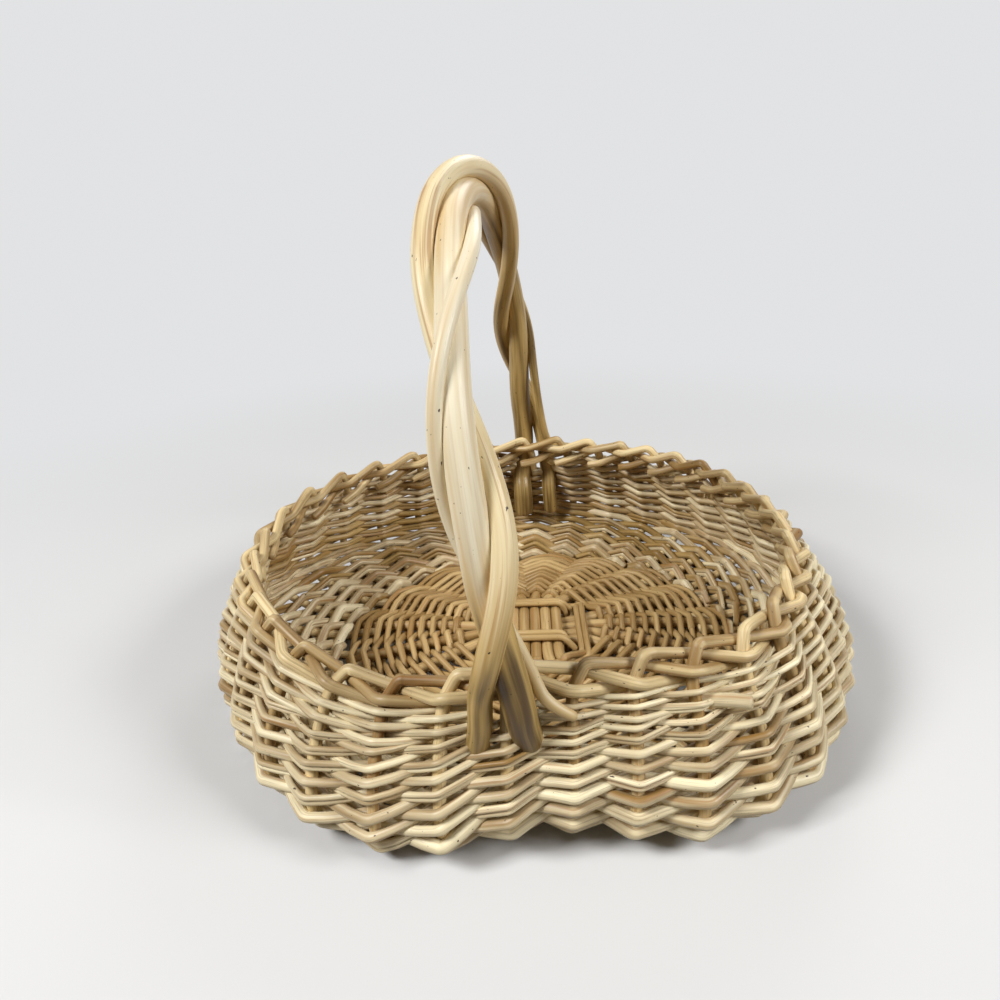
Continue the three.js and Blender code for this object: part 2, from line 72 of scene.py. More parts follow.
def dish(x, y):
    """The height of the base, which is crowned in the middle so that the basket stands on its edge."""
    share = np.hypot(np.asarray(x) / BASE_HALF_WIDTH, np.asarray(y) / BASE_HALF_DEPTH)
    return EDGE_HEIGHT + BASE_CROWN * (1 - share ** 2)


arms = []
for quarter in range(4):
    arms.append({
        "heading": FRONT_STAKE + STAKE_STEP / 2 + quarter * math.pi / 2,
        "count": FRONT_STICKS if quarter % 2 == 0 else SIDE_STICKS,
        "level": STICK_RADIUS if quarter % 2 == 0 else -STICK_RADIUS,
    })


def arm_point(arm, reach, aside):
    """A point at a reach along one arm of the cross and a way to the side of it."""
    cosine, sine = math.cos(arm["heading"]), math.sin(arm["heading"])
    return np.array([cosine * reach - sine * aside, sine * reach + cosine * aside])


spokes = []
for arm in arms:
    for i in range(arm["count"]):
        place = i - (arm["count"] - 1) / 2
        angle = turned(arm["heading"] + place * 2 * STAKE_STEP)
        spokes.append({
            "angle": angle,
            "start": arm_point(arm, ARM_LENGTH, place * STICK_PITCH),
            "rim": np.array([BASE_HALF_WIDTH * math.cos(angle), BASE_HALF_DEPTH * math.sin(angle)]),
        })


def spoke_point(index, share):
    """Where a spoke's straight run crosses the oval that is a share of the base edge."""
    spoke = spokes[index % SPOKES]
    scale = np.array([BASE_HALF_WIDTH, BASE_HALF_DEPTH])
    start = spoke["start"] / scale
    run = spoke["rim"] / scale - start
    a, b, c = run @ run, start @ run, start @ start - share ** 2
    along = (-b + math.sqrt(b * b - a * c)) / a
    return spoke["start"] + (spoke["rim"] - spoke["start"]) * along


SHORTEST_STEP = 0.05
CUT_REACH = 0.3
CUT_WIDTH = 0.72
STEEP = 0.9
GRAIN_SHIFT = 4000
SHARPEST_BEND = 0.5
BEND_WHITENING_AND_HIGHLIGHT = 0.9
CHANCE_SEED = 41
chance = random.Random(CHANCE_SEED)


def spread(values, count):
    """One value, or a run of values, laid out evenly over the sections of a rod."""
    values = np.atleast_1d(np.asarray(values, float))
    return np.interp(np.linspace(0, 1, count), np.linspace(0, 1, len(values)), values)


def cut_off(path, radius):
    """A rod's path and radius with a short narrower section past each end, for the soft edge of its cut."""
    steps = np.linalg.norm(np.diff(path, axis=0), axis=1)
    path = path[np.concatenate([[True], steps > SHORTEST_STEP])]
    radius = spread(radius, len(path))
    ends = []
    for end, inner in ((0, 1), (-1, -2)):
        way = path[end] - path[inner]
        ends.append(path[end] + way / np.linalg.norm(way) * radius[end] * CUT_REACH)
    path = np.vstack([ends[0], path, ends[1]])
    radius = np.concatenate([[radius[0] * CUT_WIDTH], radius, [radius[-1] * CUT_WIDTH]])
    return path, radius


class Rods:
    """Sweeps willow rods along their paths and gathers them into the mesh of one piece."""

    def __init__(self, sides):
        self.sides = sides
        self.corners = []
        self.faces = []
        self.space = []
        self.tone = []
        self.count = 0

    def sweep(self, path, radius, tone=None, wear_and_painted_light=0):
        """Adds one rod. A tone that isn't given is left to chance, and a run of painted light and shade is
        added along the rod.
        """
        path, radius = cut_off(np.asarray(path, float), radius)
        rows = len(path)
        heading = np.gradient(path, axis=0)
        heading /= np.linalg.norm(heading, axis=1)[:, None]
        across = np.empty_like(path)
        side = np.array([0, 0, 1.0]) if abs(heading[0][2]) < STEEP else np.array([1.0, 0, 0])
        for i, way in enumerate(heading):
            side = side - way * (side @ way)
            side /= np.linalg.norm(side)
            across[i] = side
        beside = np.cross(heading, across)
        turn = np.arange(self.sides) * 2 * math.pi / self.sides
        cosine, sine = np.cos(turn), np.sin(turn)
        ring = radius[:, None, None] * (across[:, None] * cosine[None, :, None]
                                        + beside[:, None] * sine[None, :, None])
        self.corners.append((path[:, None] + ring).reshape(-1, 3))

        grid = self.count + np.arange(rows * self.sides).reshape(rows, self.sides)
        beyond = np.roll(grid, -1, axis=1)
        quads = np.stack([grid[:-1], beyond[:-1], beyond[1:], grid[1:]], axis=-1).reshape(-1, 4)
        self.faces.extend(quads.tolist())
        self.faces.append(grid[0][::-1].tolist())
        self.faces.append(grid[-1].tolist())
        self.count += rows * self.sides

        along = np.concatenate([[0], np.cumsum(np.linalg.norm(np.diff(path, axis=0), axis=1))])
        space = np.empty((rows, self.sides, 3))
        space[..., 0] = along[:, None] + chance.uniform(0, GRAIN_SHIFT)
        space[..., 1] = radius[:, None] * cosine
        space[..., 2] = radius[:, None] * sine
        self.space.append(space.reshape(-1, 3) * MM)

        bend = np.linalg.norm(np.gradient(heading, axis=0), axis=1)
        tone = chance.random() if tone is None else tone
        shade = np.zeros((rows, self.sides, 3))
        shade[..., 0] = spread(tone, rows)[:, None]
        # Added tone along the rod: painted shade towards the back of the walls, and painted light on the
        # uprights of the stakes
        shade[..., 0] += spread(wear_and_painted_light, rows)[:, None]
        # Paler where the rod bends: partly the cracked skin of a kink, and partly a painted highlight on
        # the kinks
        shade[..., 0] -= (BEND_WHITENING_AND_HIGHLIGHT * np.clip(bend, 0, SHARPEST_BEND))[:, None]
        shade[..., 1] = chance.random()
        shade[0, :, 2] = 1
        shade[-1, :, 2] = 1
        self.tone.append(shade.reshape(-1, 3))

    def piece(self, name, material):
        """The object made of all the rods. Its points carry where they lie in the grain, and their tone."""
        mesh = bpy.data.meshes.new(name)
        corners = np.concatenate(self.corners) * MM
        mesh.from_pydata(corners.tolist(), [], self.faces)
        mesh.polygons.foreach_set("use_smooth", [True] * len(mesh.polygons))
        for title, values in (("rod_space", self.space), ("rod_tone", self.tone)):
            layer = mesh.attributes.new(title, "FLOAT_VECTOR", "POINT")
            layer.data.foreach_set("vector", np.concatenate(values).astype(np.float32).ravel())
        mesh.materials.append(material)
        made = bpy.data.objects.new(name, mesh)
        bpy.context.scene.collection.objects.link(made)
        return made


CORNER_SHARE = 0.48
CORNER_SAMPLES = 4
BUD_SWELL = 0.06
BUD_SPACING = 0.21
BUD_SHIFT = 500


def rounded(points, reach):
    """A path with each corner bent over a short reach on both sides of it, as a rod bends."""
    points = [np.asarray(point, float) for point in points]
    path = [points[0]]
    for before, corner, after in zip(points, points[1:], points[2:]):
        back, on = before - corner, after - corner
        short = min(reach, np.linalg.norm(back) * CORNER_SHARE, np.linalg.norm(on) * CORNER_SHARE)
        enter = corner + back / np.linalg.norm(back) * short
        leave = corner + on / np.linalg.norm(on) * short
        for t in np.linspace(0, 1, CORNER_SAMPLES):
            path.append((1 - t) ** 2 * enter + 2 * t * (1 - t) * corner + t * t * leave)
    path.append(points[-1])
    return np.array(path)


def stray(*place):
    """A smooth value about 0 that changes slowly from place to place."""
    return noise.noise(Vector(place))


def uneven(count, radius, swell=BUD_SWELL, spacing=BUD_SPACING):
    """A rod's thickness along its sections, which swells a little at its buds."""
    shift = chance.uniform(0, BUD_SHIFT)
    return radius * (1 + swell * np.array([stray(i * spacing + shift, 0, 0) for i in range(count)]))


class Socket:
    """A shader value that takes part in sums: each operator adds a Math node."""

    def __init__(self, shader, link):
        self.shader = shader
        self.link = link

    def maths(self, operation, first, second):
        return self.shader.node("ShaderNodeMath", {"operation": operation}, {0: first, 1: second})

    def __add__(self, other):
        return self.maths("ADD", self, other)

    def __radd__(self, other):
        return self.maths("ADD", other, self)

    def __sub__(self, other):
        return self.maths("SUBTRACT", self, other)

    def __rsub__(self, other):
        return self.maths("SUBTRACT", other, self)

    def __mul__(self, other):
        return self.maths("MULTIPLY", self, other)

    def __rmul__(self, other):
        return self.maths("MULTIPLY", other, self)


class Shader:
    """The node tree of one material, or of the room round the basket."""

    def __init__(self, name, store):
        self.owner = store.new(name)
        self.owner.use_nodes = True
        self.tree = self.owner.node_tree
        self.tree.nodes.clear()

    def node(self, kind, settings, inputs, output=0):
        made = self.tree.nodes.new(kind)
        for key, value in settings.items():
            setattr(made, key, value)
        for key, value in inputs.items():
            if isinstance(value, Socket):
                self.tree.links.new(value.link, made.inputs[key])
            else:
                made.inputs[key].default_value = value
        return Socket(self, made.outputs[output]) if made.outputs else None

    def mix(self, share, first, second):
        return self.node("ShaderNodeMix", {"data_type": "RGBA"}, {0: share, 6: first, 7: second}, 2)

    def between(self, value, low, high):
        """A soft step from 0 at the low value to 1 at the high one."""
        inputs = {"Value": value, "From Min": low, "From Max": high, "To Min": 0.0, "To Max": 1.0}
        return self.node("ShaderNodeMapRange", {"interpolation_type": "SMOOTHSTEP", "clamp": True}, inputs)


def srgb(red, green, blue):
    """A colour as it is seen on a screen, from 0 to 255, in the renderer's own scale."""
    values = []
    for part in (red, green, blue):
        part /= 255
        values.append(part / 12.92 if part <= 0.04045 else ((part + 0.055) / 1.055) ** 2.4)
    return (*values, 1)


# Marks in the wood: how many to a metre along a rod and across it, and how finely they are broken up
PATCHES = (14, 220, 2.0)
LINES = (38, 1300, 3.0)
FIBRES = (110, 3600, 2.0)
STAINS = (8, 560, 3.0)
DOTS = (420, 700, 1.0)
MARK_ROUGHNESS = 0.6
# Where each mark starts to show, and where it shows in full
TAN_FROM = (0.36, 0.92)
LINES_FROM = (0.48, 0.76)
STAINS_FROM = (0.57, 0.74)
DOTS_FROM = (0.74, 0.79)
WEATHERED_AND_SHADED_FROM = (1.15, 2.2)
AGED_AND_SHADED_FROM = (1.0, 1.68)
WEATHERED_AND_SHADED_SHARE = 0.94
CUT_SHARE = 0.35
STAIN_BROWN = srgb(160, 104, 50)
DOT_BROWN = srgb(62, 38, 20)
CUT_BROWN = srgb(150, 112, 66)
HONEY = srgb(206, 174, 108)
OLD_AND_SHADED_BROWN = srgb(76, 52, 14)
RELIEF_DEPTH = 0.5 * MM
RELIEF_STRENGTH = 0.35
LINE_ROUGHNESS = 0.25
LINE_ROUGHNESS_MEAN = 0.12
WILLOW_SHINE = 0.34


def willow(name, pale, tan, dark, fibre, streaks, specks, roughness):
    """Peeled willow: pale and tan along the grain, with fibre lines, brown streaks and pin specks.
    A rod with a high tone is turned to honey and old brown, which is wear on the bow's legs and painted
    shade towards the back of the bow and of the far wall, and every cut end is darker.
    """
    shader = Shader(name, bpy.data.materials)
    space = shader.node("ShaderNodeAttribute", {"attribute_name": "rod_space"}, {}, "Vector")
    tones = shader.node("ShaderNodeAttribute", {"attribute_name": "rod_tone"}, {}, "Vector")
    tone, warmth, cut = [shader.node("ShaderNodeSeparateXYZ", {}, {0: tones}, axis) for axis in "XYZ"]

    def marks(along, across, detail):
        scale = (along, across, across)
        place = shader.node("ShaderNodeVectorMath", {"operation": "MULTIPLY"}, {0: space, 1: scale})
        inputs = {"Vector": place, "Scale": 1.0, "Detail": detail, "Roughness": MARK_ROUGHNESS}
        return shader.node("ShaderNodeTexNoise", {}, inputs)

    patches, lines, fibres = marks(*PATCHES), marks(*LINES), marks(*FIBRES)
    color = shader.mix(shader.between(patches * 0.9 + tone * 0.3, *TAN_FROM), srgb(*pale), srgb(*tan))
    color = shader.mix(shader.between(lines, *LINES_FROM) * fibre, color, srgb(*dark))
    stain = shader.between(marks(*STAINS) + warmth * 0.08, *STAINS_FROM)
    color = shader.mix(stain * streaks, color, STAIN_BROWN)
    # Wear on the bow's legs, and painted shade where a high tone stands for the shade at the back
    weathered_and_shaded = shader.between(tone + patches * 0.6 + lines * 0.3, *WEATHERED_AND_SHADED_FROM)
    aged_and_shaded = shader.between(tone * 0.3 + patches * 1.4 + lines * 0.25, *AGED_AND_SHADED_FROM)
    color = shader.mix(weathered_and_shaded * WEATHERED_AND_SHADED_SHARE, color, shader.mix(aged_and_shaded, HONEY, OLD_AND_SHADED_BROWN))
    speck = shader.between(marks(*DOTS), *DOTS_FROM)
    color = shader.mix(speck * specks, color, DOT_BROWN)
    color = shader.mix(cut * CUT_SHARE, color, CUT_BROWN)
    relief = patches * 0.35 + lines * 0.5 + fibres * 0.15 - speck * 0.4
    normal = shader.node("ShaderNodeBump", {}, {
        "Strength": RELIEF_STRENGTH, "Distance": RELIEF_DEPTH, "Height": relief})
    rough = lines * LINE_ROUGHNESS + (roughness - LINE_ROUGHNESS_MEAN)
    surface = shader.node("ShaderNodeBsdfPrincipled", {}, {
        "Base Color": color, "Roughness": rough, "Normal": normal, "Specular IOR Level": WILLOW_SHINE})
    shader.node("ShaderNodeOutputMaterial", {}, {"Surface": surface})
    return shader.owner


# The base's willow is darker than the wall's, as painted shade for the floor inside the basket
base_willow = willow("base_willow", (200, 170, 116), (140, 106, 56), (84, 57, 25),
                     fibre=0.45, streaks=0.45, specks=0.8, roughness=0.46)


def stick_path(quarter, place):
    """One stick from end to end: along its spoke, straight over or under the cross, and out again."""
    near, far = arms[quarter], arms[quarter + 2]
    aside = (place - (near["count"] - 1) / 2) * STICK_PITCH
    half = arms[quarter + 1]["count"] * STICK_PITCH / 2
    first = 0 if quarter == 0 else FRONT_STICKS
    near_spoke = first + place
    far_spoke = first + SPOKES // 2 + far["count"] - 1 - place
    points = []
    for share in STICK_SHARES:
        x, y = spoke_point(near_spoke, share)
        points.append((x, y, dish(x, y)))
    for reach, lift in ((ARM_LENGTH, 0), (half, 1), (-half, 1), (-ARM_LENGTH, 0)):
        x, y = arm_point(near, reach, aside)
        points.append((x, y, dish(x, y) + lift * near["level"]))
    for share in reversed(STICK_SHARES):
        x, y = spoke_point(far_spoke, share)
        points.append((x, y, dish(x, y)))
    return rounded(points, STICK_BEND)


for quarter, title, count in ((0, "front", FRONT_STICKS), (1, "side", SIDE_STICKS)):
    rods = Rods(STICK_SIDES)
    for place in range(count):
        path = stick_path(quarter, place)
        rods.sweep(path, uneven(len(path), STICK_RADIUS))
    sticks = rods.piece("cross_sticks_" + title, base_willow)
    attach(sticks, "root")
    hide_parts(*["base_stick_%s_%d" % (title, i + 1) for i in range(count)])

# Binding of the cross
# Two pairs of thin willow rods go once round the middle of the cross, each over two arms and under the
# other two, and pull the sticks together before they are spread.
BINDING_RADIUS = 1.7
BINDING_BEND = 3
BINDING_SIDES = 8
BINDING_CLEARANCE = 2.2
PAIR_PITCH = 6.6
STRAND_PITCH = 3.3
CORNER_REACH = 1
CORNER_CLEARANCE = 3.2
TUCK_REACH = 2


def binding_path(second, strand):
    """One strand of the first or the second pair. Its end is tucked in below the arm that it started on."""
    beside = PAIR_PITCH * second + STRAND_PITCH * strand
    points = []
    for quarter in range(4):
        arm, beyond = arms[quarter], arms[(quarter + 1) % 4]
        half = arm["count"] * STICK_PITCH / 2
        reach = beyond["count"] * STICK_PITCH / 2 + BINDING_CLEARANCE + beside
        side = 1 if (quarter + second) % 2 == 0 else -1
        settled = np.interp(reach, (half, ARM_LENGTH), (1, 0))
        height = side * (STICK_RADIUS + BINDING_RADIUS) + settled * arm["level"]
        for aside in (-half, half):
            x, y = arm_point(arm, reach, aside)
            points.append((x, y, dish(x, y) + height))
        x, y = arm_point(arm, reach + CORNER_REACH, half + CORNER_CLEARANCE + beside)
        points.append((x, y, dish(x, y)))
    x, y = arm_point(arms[0], reach - TUCK_REACH, 0)
    points.append((x, y, dish(x, y) - 2 * STICK_RADIUS - BINDING_RADIUS))
    return rounded(points, BINDING_BEND)


rods = Rods(BINDING_SIDES)
for second in (0, 1):
    for strand in (0, 1):
        path = binding_path(second, strand)
        rods.sweep(path, uneven(len(path), BINDING_RADIUS))
binding = rods.piece("cross_binding", base_willow)
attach(binding, "root")
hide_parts("base_binding_a", "base_binding_b")

# Base weaving
# Thin willow rods go round and round the spread sticks, over one and under the next, from the binding
# out to the edge. Near the edge they also pass the butts of the stakes that stand beside each stick.
BASE_ROW_PITCH = 2.85
BASE_BUTT_RADIUS = 1.95
BASE_TIP_RADIUS = 1.5
BASE_SWELL = 0.09
BASE_SIDES = 7
BASE_START_SHARE = 0.34
BASE_END_SHARE = 1.0
BASE_SWING = STICK_RADIUS + 1.3
BASE_ROD_BAYS = (22, 44)
BASE_OVERLAP = 1.5
BASE_STRAY = 0.25
BASE_STRAY_RATE = 0.5
BASE_STRAY_SPOT = (9.0, 3)
BUTTS_FROM = (0.84, 0.88)
BUNDLE_HALF_WIDTHS = (0.5, 7.0)
BAY_STEPS = (0, 0.025, 0.05, 0.08, 0.3, 0.5, 0.7, 0.92, 0.95, 0.975)
STATION_GAP = 0.02
KINK = 0.065


def wave(share, flat=0.0):
    """From 1 at one post to -1 at the next: straight between them, with a short bend at each post."""
    share = np.clip((share - flat) / (1 - 2 * flat), 0, 1)
    slope = 2 / (1 - KINK)
    straight = slope * (0.5 - share)
    from_post = np.minimum(share, 1 - share)
    bent = 1 - slope / (2 * KINK) * from_post ** 2
    return np.where(from_post < KINK, np.where(share < 0.5, bent, -bent), straight)


def stations(start, end):
    """Places along a row, in bays, with more of them near the posts."""
    bays = range(math.floor(start) - 1, math.ceil(end) + 1)
    places = [bay + step for bay in bays for step in BAY_STEPS]
    inside = [place for place in places if start + STATION_GAP < place < end - STATION_GAP]
    return np.array([start] + inside + [end])


def base_path(second, start, end):
    """One of the two rods that chase each other round the base, from one bay to another."""
    points = []
    for k in stations(start, end):
        bay = math.floor(k)
        strays = BASE_STRAY * stray(k * BASE_STRAY_RATE, second * BASE_STRAY_SPOT[0], BASE_STRAY_SPOT[1])
        row = second + 2 * k / SPOKES + strays
        share = BASE_START_SHARE + row * BASE_ROW_PITCH / BASE_HALF_DEPTH
        one, two = spoke_point(bay, share), spoke_point(bay + 1, share)
        bundle = np.interp(share, BUTTS_FROM, BUNDLE_HALF_WIDTHS)
        side = 1 if (bay + second) % 2 == 0 else -1
        x, y = one + (two - one) * (k - bay)
        swing = side * BASE_SWING * wave(k - bay, bundle / np.linalg.norm(two - one))
        points.append((x, y, dish(x, y) + swing))
    return points


def rod_lengths(total, shortest, longest, overlap):
    """Where each rod of a row starts and ends, in bays. The next is laid in before the last runs out."""
    start = 0
    while start < total:
        end = start + chance.uniform(shortest, longest)
        if total - end < shortest / 2:
            end = total
        yield start, min(end + overlap, total)
        start = end


base_rounds = (BASE_END_SHARE - BASE_START_SHARE) * BASE_HALF_DEPTH / BASE_ROW_PITCH / 2
rods = Rods(BASE_SIDES)
for second in (0, 1):
    for start, end in rod_lengths(math.floor(base_rounds * SPOKES), *BASE_ROD_BAYS, BASE_OVERLAP):
        path = base_path(second, start, end)
        taper = np.linspace(BASE_BUTT_RADIUS, BASE_TIP_RADIUS, len(path))
        rods.sweep(path, taper * uneven(len(path), 1, BASE_SWELL))
base_weave = rods.piece("base_weave", base_willow)
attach(base_weave, "root")
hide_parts("base_weaver_a", "base_weaver_b")

# Stakes and border
# Each stick end has a willow stake on either side, pushed into the base and kinked upright at its edge.
# At the rim every stake is bent over, goes behind its neighbour, down in front of the next and in again.
BULGE_HALF_WIDTH = 160
BULGE_HALF_DEPTH = 136
BULGE_HEIGHT = 26.2
BULGE_DRIFT = -2.5
MOUTH_HALF_WIDTH = 130
MOUTH_HALF_DEPTH = 113
MOUTH_DRIFT = -11
RIM_HEIGHT = 87.4
DRAW_IN_POWER = 1.6
MOUTH_POWER = 1.3
PROFILE_STEPS = 80
# How far the wall of the bulge, and then the mouth, is out, down and turned at bearings in degrees
FRONT_PLACES = (-180, -155, -140, -128, -116, -104, -96, -90, -84, -76, -67, -55, -45, -30, 180)
FRONT_OUT = (0, 0, 4.5, 8.5, 7, 0, -6, -8, -6.5, -1.5, 4.5, 6, 6, 0, 0)
FRONT_DOWN = (0, 0, 5.5, 7.5, 8.5, 5, 0, 0, 0, 4, 7.5, 7.2, 6.5, 0, 0)
FRONT_TURN = (0, 0.7, 1.5, 2, 2.4, 0.8, 0, -0.1, -0.6, -1.9, -2.4, -1.9, -1.5, -0.7, 0)
MOUTH_PLACES = (-180, -165, -150, -137, -127, -117, -107, -99, -92, -70, -56, -44, -30, 140, 160, 170, 180)
MOUTH_OUT = (-2, -2, -1, 0, 0, 0, 0, 0, 0, 0, 3, 1.5, 0, 0, 0, -1, -2)
MOUTH_DOWN = (8, 8, 7.5, 12, 14.5, 15.5, 7, 1, 0, 0, 3, 2, 0, 0, 3, 6, 8)
MOUTH_TURN = (0, 0, 0, 0, 0, 0, 0, 0, 0, 0, 1, 2.5, 1.5, 0, 0, 0, 0)
SOFT_DEGREES = 7
SLIGHT_TURN = 0.01
SLIGHT_RISE = 3


def profile(edge, bulge, mouth, lower, upper):
    """A measure of the wall from the edge of the base out to the bulge, and from there up to the mouth."""
    return np.concatenate([edge + (bulge - edge) * lower, bulge + (mouth - bulge) * upper])


flare = np.linspace(0, math.pi / 2, PROFILE_STEPS)
rise = np.linspace(0, 1, PROFILE_STEPS)[1:]
swelling = np.sin(flare)
drawn = rise ** DRAW_IN_POWER
half_widths = profile(BASE_HALF_WIDTH, BULGE_HALF_WIDTH, MOUTH_HALF_WIDTH, swelling, drawn)
half_depths = profile(BASE_HALF_DEPTH, BULGE_HALF_DEPTH, MOUTH_HALF_DEPTH, swelling, drawn)
heights = profile(EDGE_HEIGHT, BULGE_HEIGHT, RIM_HEIGHT, 1 - np.cos(flare), rise)
drifts = profile(0, BULGE_DRIFT, MOUTH_DRIFT, swelling, rise)
fullness = profile(0, 1, 0, swelling, rise)
closeness = profile(0, 0, 1, swelling, rise ** MOUTH_POWER)
lengths = np.concatenate([[0], np.cumsum(np.hypot(np.diff(half_depths), np.diff(heights)))])


def eased(values, reach):
    """The same run of values with its corners smoothed out."""
    before = 2 * values[0] - values[reach:0:-1]
    after = 2 * values[-1] - values[-2:-2 - reach:-1]
    window = np.hanning(2 * reach + 3)[1:-1]
    return np.convolve(np.concatenate([before, values, after]), window / window.sum(), "valid")


degrees = np.arange(-180, 181)


def all_round(places, values):
    """A measure that changes round the wall, at every degree."""
    return eased(np.interp(degrees, places, values), SOFT_DEGREES)


front_out, mouth_out = all_round(FRONT_PLACES, FRONT_OUT), all_round(MOUTH_PLACES, MOUTH_OUT)
front_down, mouth_down = all_round(FRONT_PLACES, FRONT_DOWN), all_round(MOUTH_PLACES, MOUTH_DOWN)
front_turn, mouth_turn = all_round(FRONT_PLACES, FRONT_TURN), all_round(MOUTH_PLACES, MOUTH_TURN)


def oval(angle, length):
    """A point on the wall. It is drawn in where the bow stands at the front, and sags on either side of
    that. The mouth hangs lower at the front left and goes round a fuller corner at the front right.
    """
    bearing = (np.degrees(angle) + 180) % 360 - 180
    full = np.interp(length, lengths, fullness)
    close = np.interp(length, lengths, closeness)

    def moved(front, mouth, front_share):
        return np.interp(bearing, degrees, front) * front_share + np.interp(bearing, degrees, mouth) * close

    angle = angle + np.radians(moved(front_turn, mouth_turn, full))
    cosine = np.cos(angle)
    x = np.interp(length, lengths, half_widths) * cosine + np.interp(length, lengths, drifts) * cosine ** 2
    y = np.interp(length, lengths, half_depths) * np.sin(angle)
    z = np.interp(length, lengths, heights) - moved(front_down, mouth_down, full ** 2)
    grown = 1 + moved(front_out, mouth_out, full) / np.hypot(x, y)
    return np.stack([x * grown, y * grown, z], axis=-1)


def wall(angle, length, offset):
    """A point at an angle round the wall and a length up it, set out or in from the stakes."""
    angle, length, offset = np.broadcast_arrays(*[np.asarray(v, float) for v in (angle, length, offset)])
    around = oval(angle + SLIGHT_TURN, length) - oval(angle - SLIGHT_TURN, length)
    upward = oval(angle, length + SLIGHT_RISE) - oval(angle, length - SLIGHT_RISE)
    outward = np.cross(around, upward)
    outward /= np.linalg.norm(outward, axis=-1)[..., None]
    return oval(angle, length) + outward * offset[..., None]


def length_at(height):
    """How far up the wall a height lies, where the wall doesn't sag."""
    return np.interp(height, heights, lengths)


def stake_angle(index):
    return turned(FRONT_STAKE + index * STAKE_STEP)


STAKE_RADIUS = 2.5
BORDER_RADIUS = 2.7
TAIL_RADIUS = 2.3
STAKE_PLACES = (0, 0.4, 0.6, 1)
STAKE_RADII = (STAKE_RADIUS, STAKE_RADIUS, BORDER_RADIUS, TAIL_RADIUS)
STAKE_GIRTHS = (0.94, 1.05)
STAKE_SWELL = 0.05
# How a stake's tone shifts along it: the uprights are paler, partly as painted light where they stand in
# shade between the weavers, and the border is a little browner
STAKE_TONE_AND_PAINTED_LIGHT = (-0.5, -0.5, -0.5, 0.12, 0.12, 0.12)
STAKE_BEND = 2.6
STAKE_SIDES = 10
STAKE_SPACING = 4
STAKE_STRAY = 0.35
STAKE_STRAY_RATE = (3.7, 0.05)
STAKE_STRAY_SPOT = 1
STAKE_STRAY_TURN = 0.01
STAKE_BUTT_SHARES = (0.86, 0.97)
STAKE_BUTT_ASIDE = (5.4, 6.0)
BORDER_TOP = 83.2
BORDER_LOW = 75.8
BORDER_MIDDLE = (BORDER_TOP + BORDER_LOW) / 2
BORDER_APPROACH = 8
BORDER_STRAY = 0.5
# The course of a stake through the border: stakes ahead, height, and how far out from the wall
BORDER_COURSE = (
    (0.00, BORDER_LOW - 5, 0.2),
    (0.04, BORDER_LOW + 0.5, 1.0),
    (0.23, BORDER_TOP + 0.5, 2.6),
    (0.37, BORDER_TOP + 0.4, 2.0),
    (1.12, BORDER_MIDDLE + 1.4, -2.9),
    (1.95, BORDER_LOW + 0.2, 5.0),
    (2.10, BORDER_LOW - 0.2, 5.0),
    (2.95, BORDER_LOW - 2.6, -5.0),
    (3.32, BORDER_LOW - 3.4, -6.6),
)
stake_willow = willow("stake_willow", (236, 213, 162), (134, 98, 48), (86, 58, 22),
                      fibre=0.45, streaks=0.5, specks=0.9, roughness=0.4)


def spoke_beside(index):
    """The stick end that a stake stands beside."""
    apart = [abs(math.sin((spoke["angle"] - stake_angle(index)) / 2)) for spoke in spokes]
    return apart.index(min(apart))


def stake_path(index):
    """One stake from its butt beside a stick, up the wall and through the border."""
    spoke = spoke_beside(index)
    inner, outer = [spoke_point(spoke, share) for share in STAKE_BUTT_SHARES]
    along = (outer - inner) / np.linalg.norm(outer - inner)
    across = np.array([-along[1], along[0]])
    if across @ (oval(stake_angle(index), 0)[:2] - outer) < 0:
        across = -across
    points = []
    for place, aside in zip((inner, outer), STAKE_BUTT_ASIDE):
        x, y = place + across * aside
        points.append((x, y, dish(x, y)))
    for length in np.arange(STAKE_SPACING, length_at(BORDER_LOW - BORDER_APPROACH), STAKE_SPACING):
        spot = (index * STAKE_STRAY_RATE[0], length * STAKE_STRAY_RATE[1], STAKE_STRAY_SPOT)
        strays = STAKE_STRAY * stray(*spot)
        points.append(wall(stake_angle(index) + strays * STAKE_STRAY_TURN, length, strays))
    lifts = [chance.uniform(-BORDER_STRAY, BORDER_STRAY) for _ in BORDER_COURSE]
    for (ahead, height, out), lift in zip(BORDER_COURSE, lifts):
        points.append(wall(stake_angle(index + ahead), length_at(height + lift), out + lift))
    return rounded(points, STAKE_BEND)


rods = Rods(STAKE_SIDES)
for index in range(STAKES):
    path = stake_path(index)
    thickness = np.interp(np.linspace(0, 1, len(path)), STAKE_PLACES, STAKE_RADII)
    girth = chance.uniform(*STAKE_GIRTHS)
    rods.sweep(path, thickness * uneven(len(path), girth, STAKE_SWELL), wear_and_painted_light=STAKE_TONE_AND_PAINTED_LIGHT)
stakes = rods.piece("stakes_and_border", stake_willow)
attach(stakes, "root")
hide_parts(*["stake_%02d" % (i + 1) for i in range(STAKES)])

